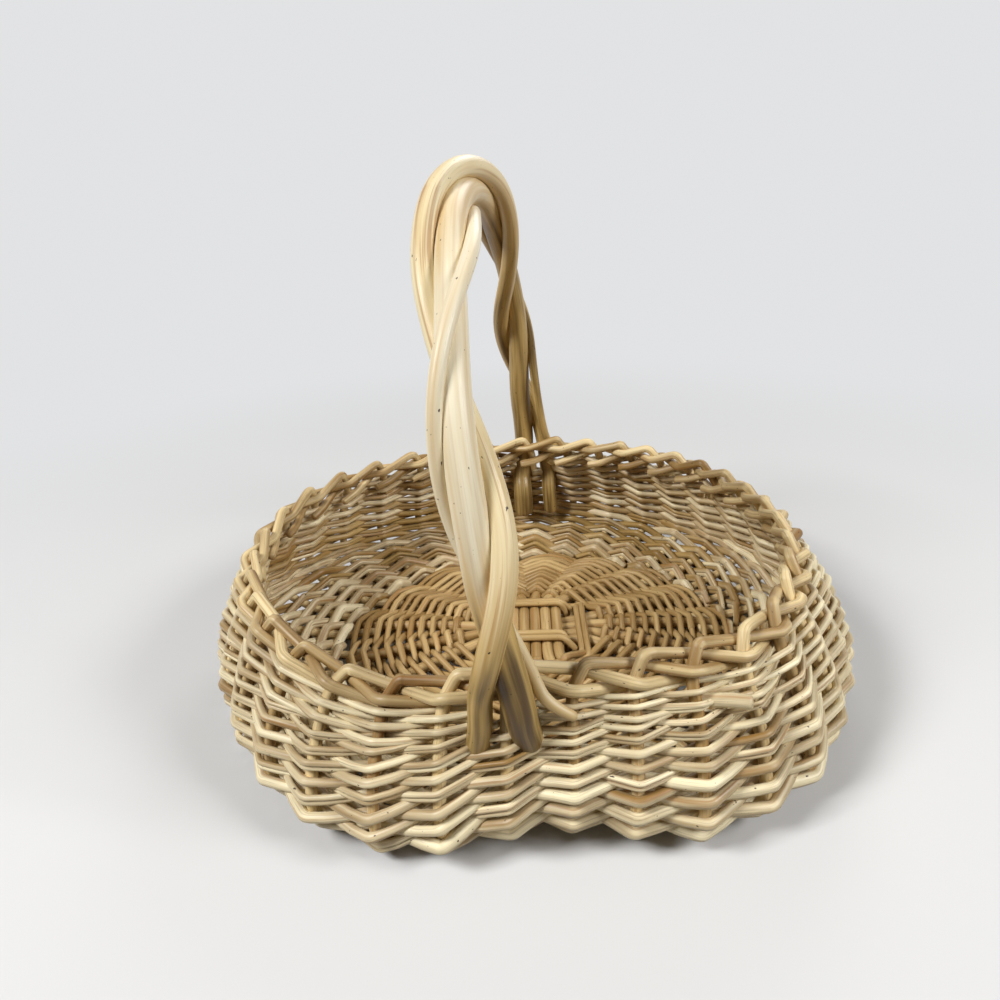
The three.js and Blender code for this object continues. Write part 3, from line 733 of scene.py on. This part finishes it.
# Side weaving
# One willow rod for each stake, started behind it with its butt at the base. Each rod goes in front of
# one stake and behind the next, climbs to the right over the rods before it, and thins to its tip.
CLIMB_ROWS = 24
PACKING_ROWS = 4
ALL_ROWS = CLIMB_ROWS + PACKING_ROWS
FIRST_ROW = 1.4
ROW_POWER = 0.88
WEAVE_CLEARANCE = 1.6
BUTT_RADIUS = 2.85
TIP_RADIUS = 1.95
BUTT_REACH = 0.35
END_STRAY = (-0.5, 1.3)
BUTT_GIRTHS = (0.85, 1.1)
TIP_GIRTHS = (0.75, 1.15)
SIDE_SWELL = 0.1
WEAVER_SIDES = 8
SIDE_SWING = 2.5
SIDE_SWING_SHARE = 0.8
SIDE_RIPPLE = 1.2
RIPPLE_RATE = (0.37, 0.9)
RIPPLE_SPOT = 5
KINK_DIP = 0.9
FLOOR_CLEARANCE = 1.1
FAN_RISE = (-2.9, 1.1)
FAN_SPREAD = 4.5
FAN_SHARE = 0.4
FAN_POWER = 2.1
CROWDING = (0.45, 1.2)
PAIRED_SHARE = 0.3
PAIRED_RADIUS = 0.6
PAIRED_DROP = 0.5
PAIRED_SWELL = 0.12
# Painted shade: the rods are made browner towards the back, where the inside of the far wall is in shade
BACK_WALL_SHADE = 0.45
BACK_WALL_SHADE_FROM = (10, 100)
# The one cut butt that stands out at the front right: stakes round, length up the wall, and how far out
CUT_BUTT = ((2.75, 93.5, -5), (3.1, 93, -1), (3.45, 92, 4.5), (3.68, 90.5, 8.6))
CUT_BUTT_TONE = 0.1
FLOW_STEPS = 6
weave_top = float(length_at(BORDER_LOW - BORDER_RADIUS - WEAVE_CLEARANCE))
weaver_willow = willow("weaver_willow", (252, 239, 200), (146, 110, 56), (86, 56, 20),
                       fibre=0.45, streaks=0.5, specks=1.0, roughness=0.38)


def flowing(points):
    """A smooth curve through the points, as a stout rod bends."""
    points = np.array(points)
    padded = np.vstack([2 * points[0] - points[1], points, 2 * points[-1] - points[-2]])
    path = []
    for a, b, c, d in zip(padded, padded[1:], padded[2:], padded[3:]):
        for t in np.arange(FLOW_STEPS) / FLOW_STEPS:
            path.append(0.5 * (2 * b + (c - a) * t + (2 * a - 5 * b + 4 * c - d) * t * t
                               + (3 * b - a - 3 * c + d) * t ** 3))
    path.append(points[-1])
    return np.array(path)


def fan(place):
    """1 just to the right of the front of the bow, where the rows spread like a fan, and 0 far from it."""
    apart = (np.asarray(place) + STAKES / 2) % STAKES - STAKES / 2
    near = np.clip((apart - FAN_RISE[0]) / (FAN_RISE[1] - FAN_RISE[0]), 0, 1)
    return near ** 2 * (3 - 2 * near) * np.exp(-(np.maximum(apart - FAN_RISE[1], 0) / FAN_SPREAD) ** 2)


def row_share(row):
    return np.clip(row / ALL_ROWS, 0, 1) ** ROW_POWER


def row_length(place, row):
    """How far up the wall a row lies. In the fan the low rows are spread and the high ones crowded."""
    share = row_share(row)
    lifted = share + FAN_SHARE * fan(place) * (1 - (1 - share) ** FAN_POWER - share)
    return FIRST_ROW + (weave_top - FIRST_ROW) * lifted


def row_thickness(place, row):
    """The share of its own thickness that a rod has there, which is less where the rows are crowded."""
    crowding = 1 + FAN_SHARE * fan(place) * (FAN_POWER * (1 - row_share(row)) ** (FAN_POWER - 1) - 1)
    return np.clip(crowding, *CROWDING)


def ripple(place, row):
    """How far a row strays up and down along its way."""
    spots = zip(np.multiply(place, RIPPLE_RATE[0]), np.multiply(row, RIPPLE_RATE[1]))
    return np.array([stray(along, up, RIPPLE_SPOT) for along, up in spots])


def back_wall_shade(path):
    """Painted shade: how much browner the rods are made towards the back of the basket, where the inside of
    the far wall stands in shade.
    """
    return BACK_WALL_SHADE * np.interp(path[:, 1], BACK_WALL_SHADE_FROM, (0, 1))


def side_rod(stake, end, butt, tip):
    """The path of the rod that starts behind a stake, and its thickness. It climbs one row in each bay."""
    k = stations(-BUTT_REACH, end)
    bay = np.floor(k)
    place, row = stake + k, np.maximum(k, 0)
    thickness = np.interp(k, (0, CLIMB_ROWS), (butt, tip)) * row_thickness(place, row)
    out = np.where(bay % 2 == 0, -1, 1) * wave(k - bay)
    length = row_length(place, row) + SIDE_RIPPLE * ripple(place, row) - KINK_DIP * out
    path = wall(stake_angle(place), length, out * (SIDE_SWING + SIDE_SWING_SHARE * thickness))
    path[:, 2] = np.maximum(path[:, 2], FLOOR_CLEARANCE * thickness)
    return path, thickness


rods = Rods(WEAVER_SIDES)
for stake in range(STAKES):
    end = CLIMB_ROWS + chance.uniform(*END_STRAY)
    butt = BUTT_RADIUS * chance.uniform(*BUTT_GIRTHS)
    tip = TIP_RADIUS * chance.uniform(*TIP_GIRTHS)
    path, thickness = side_rod(stake, end, butt, tip)
    if chance.random() < PAIRED_SHARE:
        drop = np.stack([0 * thickness, 0 * thickness, PAIRED_DROP * thickness], axis=1)
        for twin in (path + drop, path - drop):
            slim = PAIRED_RADIUS * thickness * uneven(len(path), 1, PAIRED_SWELL)
            rods.sweep(twin, slim, wear_and_painted_light=back_wall_shade(path))
    else:
        rods.sweep(path, thickness * uneven(len(path), 1, SIDE_SWELL), wear_and_painted_light=back_wall_shade(path))
path = [wall(stake_angle(place), length, out) for place, length, out in CUT_BUTT]
rods.sweep(flowing(path), BUTT_RADIUS, CUT_BUTT_TONE)
side_weave = rods.piece("side_weave", weaver_willow)
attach(side_weave, "root")
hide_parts("side_weaver_lower_a", "side_weaver_lower_b",
            "side_weaver_upper_a", "side_weaver_upper_b")

# Packing
# Above the tips each half of the side is filled by a thin willow rod that works to and fro between the
# two windows, turning back round the leg of the bow that stands in each of them.
TURN_PAST = 0.5
TURN_REACH = 0.07
PACKING_RADIUS = 1.75
PACKING_SWELL = 0.15
PACKING_SWING = 4.0
PACKING_RIPPLE = 0.5
PACKING_RIPPLE_ROW = 40
BACK_STAKE = STAKES // 2 + 1


def packing_path(first, last):
    """The path of one half's rod between two stakes, and how much it is crowded along that."""
    points, crowding = [], []

    def lay(stake, row, out):
        strays = PACKING_RIPPLE * ripple([stake], [row + PACKING_RIPPLE_ROW])[0]
        length = row_length(stake, CLIMB_ROWS + row) + strays
        points.append(wall(stake_angle(stake), length, out * PACKING_SWING))
        crowding.append(row_thickness(stake, CLIMB_ROWS + row))

    for row in range(PACKING_ROWS + 1):
        onward = row % 2 == 0
        for k in stations(-TURN_PAST, last - first + TURN_PAST):
            bay = math.floor(k)
            near = first + bay if onward else last - bay
            side = 1 if (near + row) % 2 == 0 else -1
            lay(first + k if onward else last - k, row, side * wave(k - bay))
        if row < PACKING_ROWS:
            lay(last + TURN_PAST + TURN_REACH if onward else first - TURN_PAST - TURN_REACH, row + 0.5, 0)
    return np.array(points), np.array(crowding)


for title, first, last in (("right", 1, BACK_STAKE - 1), ("left", BACK_STAKE + 1, STAKES - 1)):
    rods = Rods(WEAVER_SIDES)
    path, crowding = packing_path(first, last)
    rods.sweep(path, PACKING_RADIUS * crowding * uneven(len(path), 1, PACKING_SWELL), wear_and_painted_light=back_wall_shade(path))
    packing = rods.piece("packing_" + title, weaver_willow)
    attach(packing, "root")
    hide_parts("packing_weaver_" + title)

# Bow handle
# Three peeled willow rods twisted together over an arch: a broad one in the middle, and a streaked one
# and a thin one wound round it. At each foot the two thick ends straddle a stake and go in at the window.
STREAKED_RADIUS = 4.7
BROAD_RADIUS = 6.2
THIN_RADIUS = 3.1
THIN_TIP_RADIUS = 1.9
BOW_SWELL = 0.05
BOW_BUD_SPACING = 0.06
BOW_SIDES = 24
BOW_FOOT = 82.4
BOW_CREST = 244
BOW_HALF_DEPTH = 126.5
BOW_STEPS = 160
BOW_SOFT_STEPS = 9
THIN_SOFT_STEPS = 7
STREAKED_REACH = 9.7
STREAKED_PULL = 0.32
THIN_REACH = 8.4
THIN_PULL = 0.18
LEAD_IN = 6
# The arch's way aside, the twist of the streaked rod and how far the thin one is ahead of it, at places
# along the arch from 0 at the front foot to pi at the back one
ARCH_PLACES = (0, 0.26, 0.39, 0.52, 0.72, 1.05, 1.31, 1.57, 1.83, 2.1, 2.5, 2.75, 2.9, math.pi)
ARCH_ASIDE = (-20, -21.5, -23.8, -27.8, -31.7, -32.2, -30.5, -24, -17, -11.5, -5, -1, 0.5, 5)
TWIST_PLACES = (0, 0.156, 0.371, 0.701, 1.07, 1.571, 1.96, 2.34, 2.63, 2.88, 3.02, math.pi)
TWIST_ANGLES = (-50, 0, 90, 180, 270, 360, 450, 540, 630, 720, 795, 815)
THIN_PLACES = (0, 0.156, 0.45, 0.85, 1.07, 1.571, 2.072, 2.3, 2.7, 2.986, math.pi)
THIN_AHEAD = (150, 158, 140, 145, 168, 165, 168, 145, 140, 158, 150)

turns = np.linspace(0, math.pi, BOW_STEPS)
arch = np.stack([eased(np.interp(turns, ARCH_PLACES, ARCH_ASIDE), BOW_SOFT_STEPS),
                 -BOW_HALF_DEPTH * np.cos(turns),
                 BOW_FOOT + (BOW_CREST - BOW_FOOT) * np.sin(turns)], axis=1)
arch_along = np.gradient(arch, axis=0)
arch_along /= np.linalg.norm(arch_along, axis=1)[:, None]
arch_out = np.cross((1, 0, 0), arch_along)
arch_out /= np.linalg.norm(arch_out, axis=1)[:, None]
arch_right = np.cross(arch_along, arch_out)


def wound(angles, reach):
    """How far a rod is from the one that it is wound round, all along the arch."""
    angles = np.radians(angles)[:, None]
    return reach * (arch_out * np.cos(angles) + arch_right * np.sin(angles))


twist = eased(np.interp(turns, TWIST_PLACES, TWIST_ANGLES), BOW_SOFT_STEPS)
thin_ahead = eased(np.interp(turns, THIN_PLACES, THIN_AHEAD), BOW_SOFT_STEPS)
from_broad = {
    "streaked": wound(twist, STREAKED_REACH),
    "broad": 0,
    "thin": wound(twist + thin_ahead, THIN_REACH),
}
broad_line = arch - STREAKED_PULL * from_broad["streaked"] - THIN_PULL * from_broad["thin"]

BORDER_FACE = 5.8
LEG_ABOVE = 2
# A leg's way in: its height and how far out its middle is, and then how far in from the wall its face is
LEG_OVER = (66, 4)
LEG_THROUGH = (57, -2.6)
LEG_INSIDE = ((51.5, 3.4), (45, 5.8), (32, 6.2))
# The end of the thin rod: stakes from the middle of the foot, height, and how far out
THIN_COURSE = (
    (0.36, BORDER_TOP + 3, BORDER_FACE + 2),
    (0.47, BORDER_LOW + 1.5, BORDER_FACE + 2.6),
    (0.7, BORDER_LOW - 4, BORDER_FACE + 2.2),
    (1, BORDER_LOW - 8.4, 6.2),
)


def along_wall(course):
    """Points by the wall, each given as stakes round, height, and how far out."""
    return [wall(stake_angle(place), length_at(height), out) for place, height, out in course]


def leg(border, window, radius, stand):
    """The end of a thick rod: outside the border, straight in at the window and down inside the wall."""
    course = [
        (border, BORDER_LOW + LEG_ABOVE, BORDER_FACE + radius + stand),
        ((border + window) / 2, *LEG_OVER),
        (window, *LEG_THROUGH),
    ]
    course.extend((window, height, -(radius + inside)) for height, inside in LEG_INSIDE)
    return along_wall(course)


def thin_end(middle, way):
    """The end of the thin rod: over the border beside a foot, and down to the weaving below it."""
    return along_wall([(middle + way * ahead, height, out) for ahead, height, out in THIN_COURSE])


def bow_path(front, wound_rod, back):
    """One rod of the bow from its front end to its back end, with ends that flow out of the wound part."""
    foot = flowing([*front[::-1], wound_rod[0], wound_rod[LEAD_IN]])[:-FLOW_STEPS]
    head = flowing([wound_rod[-LEAD_IN], wound_rod[-1], *back])[FLOW_STEPS:]
    return np.vstack([foot, wound_rod[1:-1], head])


bow_willow = willow("bow_willow", (242, 233, 206), (212, 182, 130), (144, 108, 58),
                    fibre=0.08, streaks=0.16, specks=1.0, roughness=0.34)
streaked_willow = willow("streaked_willow", (240, 226, 186), (208, 175, 116), (144, 102, 50),
                         fibre=0.14, streaks=0.6, specks=1.0, roughness=0.34)
STREAKED_STAND = 0.6
BROAD_STAND = -1.4
LEG_HEIGHTS = (60, 130, 230)
LEG_GIRTHS = (1.0, 1.02, 0.92)
BOW_TONE = 0.3
WORN_HEIGHTS = (60, 96, 116, 142)
WORN_SHARES = (1, 0.95, 0.6, 0)
BEHIND_FROM = (10, 90)
BEHIND_FRESH = 0.8
# Painted shade: how much browner the back half of the bow is made
BACK_SHADE = 1.25
CREST_FROM = (190, 228)
CREST_TAN = 0.5
SCAR_TOP = np.array([-38, -38, 243])
SCAR_FOOT = np.array([-37.6, -81, 215])
SCAR_REACH = 4.0
SCAR_WARMTH = 2.6
# Each rod's name, willow and radius, the steps of the arch that its two ends leave out, how worn its legs
# are, which on the broad rod is partly painted shade, and its front and back ends
BOWS = (
    ("streaked", streaked_willow, STREAKED_RADIUS, (6, 6), 1.5,
     leg(-0.32, -0.44, STREAKED_RADIUS, STREAKED_STAND),
     leg(BACK_STAKE - 0.3, BACK_STAKE - 0.4, STREAKED_RADIUS, STREAKED_STAND)),
    ("broad", bow_willow, BROAD_RADIUS, (13, 6), 2.0,
     leg(0.15, 0.32, BROAD_RADIUS, BROAD_STAND),
     leg(BACK_STAKE + 0.2, BACK_STAKE + 0.32, BROAD_RADIUS, BROAD_STAND)),
    ("thin", bow_willow, THIN_RADIUS, (14, 18), 0.95,
     thin_end(0, 1),
     thin_end(BACK_STAKE, -1)),
)
for title, material, radius, skip, wear_and_painted_light, front, back in BOWS:
    path = bow_path(front, (broad_line + from_broad[title])[skip[0]:-skip[1]], back)
    thickness = uneven(len(path), radius, BOW_SWELL, BOW_BUD_SPACING)
    if title == "thin":
        path = np.stack([eased(line, THIN_SOFT_STEPS) for line in path.T], axis=1)
        belly = np.sqrt(np.clip(np.sin(math.pi * np.linspace(0, 1, len(path))), 0, 1))
        thickness = THIN_TIP_RADIUS + (thickness - THIN_TIP_RADIUS) * belly
    else:
        thickness *= np.interp(path[:, 2], LEG_HEIGHTS, LEG_GIRTHS)
    behind = np.interp(path[:, 1], BEHIND_FROM, (0, 1))
    worn_and_shaded = wear_and_painted_light * np.interp(path[:, 2], WORN_HEIGHTS, WORN_SHARES) * (1 - BEHIND_FRESH * behind)
    # The broad rod is also made tanner towards its crest
    if title == "broad":
        worn_and_shaded += CREST_TAN * np.interp(path[:, 2], CREST_FROM, (0, 1))
    rods = Rods(BOW_SIDES)
    # The back half of the bow is made browner as painted shade
    rods.sweep(path, thickness, BOW_TONE + worn_and_shaded + BACK_SHADE * behind)
    if title == "streaked":
        from_top = rods.corners[0] - SCAR_TOP
        run = SCAR_FOOT - SCAR_TOP
        apart = from_top - np.clip(from_top @ run / (run @ run), 0, 1)[:, None] * run
        rods.tone[0][:, 1] += SCAR_WARMTH * np.exp(-(np.linalg.norm(apart, axis=1) / SCAR_REACH) ** 2)
    bow = rods.piece("bow_" + title, material)
    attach(bow, "root")
    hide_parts("handle_rod_" + title)

# Floor, light and camera
# A pale floor that runs to a pale horizon, a broad soft lamp high on the left, a weaker one on the right
# and a faint one behind, with the camera close in front of the basket and a little above it.
FLOOR_HALF = 6
SHADOW_REACH = 0.22
HORIZON_REACH = 0.7
PALE = (0.76, 0.765, 0.775, 1)
FLOOR_SEEN = (0.7, 0.7, 0.7, 1)
FLOOR_BOUNCE = (0.2, 0.17, 0.125, 1)
FLOOR_ROUGHNESS = 0.9
ROOM_TINT = (1, 0.94, 0.82, 1)
ROOM_STRENGTH = 0.065


def plainly_seen(shader):
    """1 for what the camera sees, straight or in a shine, and 0 for light on its way between things."""
    rays = ("Is Camera Ray", "Is Glossy Ray", "Is Transmission Ray")
    straight, shine, through = [shader.node("ShaderNodeLightPath", {}, {}, ray) for ray in rays]
    return straight + shine + through


paper = Shader("pale_floor", bpy.data.materials)
seen = plainly_seen(paper)
tint = paper.mix(seen, FLOOR_BOUNCE, FLOOR_SEEN)
matt = paper.node("ShaderNodeBsdfPrincipled", {}, {"Base Color": tint, "Roughness": FLOOR_ROUGHNESS})
glow = paper.node("ShaderNodeEmission", {}, {"Color": PALE, "Strength": 1.0})
spot = paper.node("ShaderNodeNewGeometry", {}, {}, "Position")
apart = paper.node("ShaderNodeVectorMath", {"operation": "LENGTH"}, {0: spot}, "Value")
far = paper.between(apart, SHADOW_REACH, HORIZON_REACH)
paper_surface = paper.node("ShaderNodeMixShader", {}, {0: seen * far, 1: matt, 2: glow})
paper.node("ShaderNodeOutputMaterial", {}, {"Surface": paper_surface})
ground = bpy.data.meshes.new("floor")
floor_corners = [(x * FLOOR_HALF, y * FLOOR_HALF, 0) for x, y in ((-1, -1), (1, -1), (1, 1), (-1, 1))]
ground.from_pydata(floor_corners, [], [(0, 1, 2, 3)])
ground.materials.append(paper.owner)
floor = bpy.data.objects.new("floor", ground)
bpy.context.scene.collection.objects.link(floor)

room = Shader("pale_room", bpy.data.worlds)
soft = room.node("ShaderNodeBackground", {}, {"Color": ROOM_TINT, "Strength": ROOM_STRENGTH})
pale = room.node("ShaderNodeBackground", {}, {"Color": PALE, "Strength": 1.0})
around = room.node("ShaderNodeMixShader", {}, {0: plainly_seen(room), 1: soft, 2: pale})
room.node("ShaderNodeOutputWorld", {}, {"Surface": around})
bpy.context.scene.world = room.owner

LAMP_AIM = Vector((0, 0, 0.06))
# Each lamp's name, place, size and power
LAMPS = (
    ("key", Vector((-1.05, -0.5, 1.25)), 0.45, 24.5),
    ("fill", Vector((1.1, -0.5, 0.95)), 0.5, 15),
    ("back", Vector((0.4, 1.2, 1.0)), 0.6, 4),
)
for title, place, size, power in LAMPS:
    lamp = bpy.data.lights.new(title, "AREA")
    lamp.size = size
    lamp.energy = power
    holder = bpy.data.objects.new(title, lamp)
    holder.location = place
    holder.rotation_mode = "QUATERNION"
    holder.rotation_quaternion = (LAMP_AIM - place).to_track_quat("-Z", "Y")
    bpy.context.scene.collection.objects.link(holder)

CAMERA_PLACE = Vector((-0.01645, -0.3229, 0.2510))
CAMERA_ELEVATION = math.radians(25.4)
CAMERA_ROLL = math.radians(-2.64)
SENSOR_WIDTH = 36
FOCAL_LENGTH = 25.2
NEAREST_SEEN = 0.01
back = Vector((0, -math.cos(CAMERA_ELEVATION), math.sin(CAMERA_ELEVATION)))
right = Vector((1, 0, 0))
up = back.cross(right)
tilted_right = right * math.cos(CAMERA_ROLL) + up * math.sin(CAMERA_ROLL)
tilted_up = up * math.cos(CAMERA_ROLL) - right * math.sin(CAMERA_ROLL)
lens = bpy.data.cameras.new("camera")
lens.sensor_width = SENSOR_WIDTH
lens.lens = FOCAL_LENGTH
lens.clip_start = NEAREST_SEEN
camera = bpy.data.objects.new("camera", lens)
facing = Matrix((tilted_right, tilted_up, back)).transposed().to_4x4()
camera.matrix_world = Matrix.Translation(CAMERA_PLACE) @ facing
bpy.context.scene.collection.objects.link(camera)
bpy.context.scene.camera = camera
bpy.context.scene.view_settings.view_transform = "Standard"
